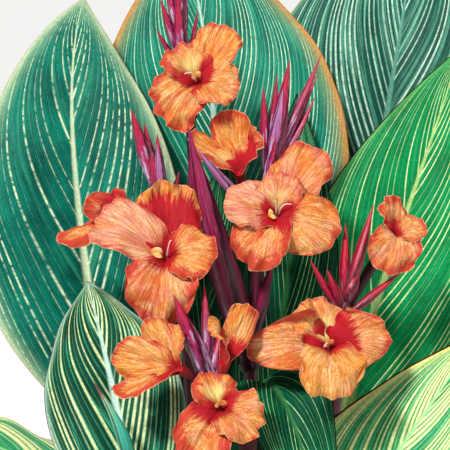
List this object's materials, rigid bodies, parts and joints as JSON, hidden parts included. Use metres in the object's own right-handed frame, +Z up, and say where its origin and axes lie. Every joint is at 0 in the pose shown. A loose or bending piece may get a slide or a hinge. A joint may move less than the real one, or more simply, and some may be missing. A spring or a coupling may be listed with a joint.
{
  "type": "canna lily plant",
  "caption": "Potted canna lily: a clump of upright dark red stalks with broad striped leaves, orange blooms and pointed buds, growing in a plain clay pot filled with soil.",
  "frame": {"origin": "centre of the pot's flat underside, where it rests", "axes": "+Z up along the pot's axis, -Y towards the side that the blooms face, +X to the right seen from there"},
  "size_m": [0.6767, 0.6693, 1.2143],
  "materials": {
    "terracotta": "matte",
    "potting_soil": "matte",
    "stalk": "satin",
    "leaf": "satin",
    "petal": "matte"
  },
  "bodies": {
    "root": {"pot": "terracotta", "soil": "potting_soil", "stalk_back": "stalk", "stalk_left": "stalk", "stalk_middle": "stalk", "stalk_right": "stalk", "stalk_front": "stalk", "shoot_left": "stalk", "shoot_right": "stalk", "shoot_front": "stalk", "leaf_left_tall": "leaf", "leaf_back_tall": "leaf", "leaf_right_tall": "leaf", "leaf_right_mid": "leaf", "leaf_middle": "leaf", "leaf_right_low": "leaf", "leaf_front_arch": "leaf", "leaf_left_front": "leaf", "leaf_inner": "leaf", "leaf_low_front": "leaf", "leaf_low_front_right": "leaf", "leaf_low_right": "leaf", "leaf_low_back_right": "leaf", "leaf_low_back": "leaf", "leaf_back_low": "leaf", "leaf_back_rear": "leaf", "leaf_low_left": "leaf", "leaf_low_back_left": "leaf", "leaf_low_front_left": "leaf", "leaf_furled": "leaf", "bloom_top": "petal", "bloom_left": "petal", "bloom_left_side": "petal", "bloom_middle": "petal", "bloom_middle_side": "petal", "bloom_right": "petal", "bloom_right_side": "petal", "bloom_front_left": "petal", "bloom_front": "petal", "bloom_front_bud": "petal"}
  },
  "joints": []
}
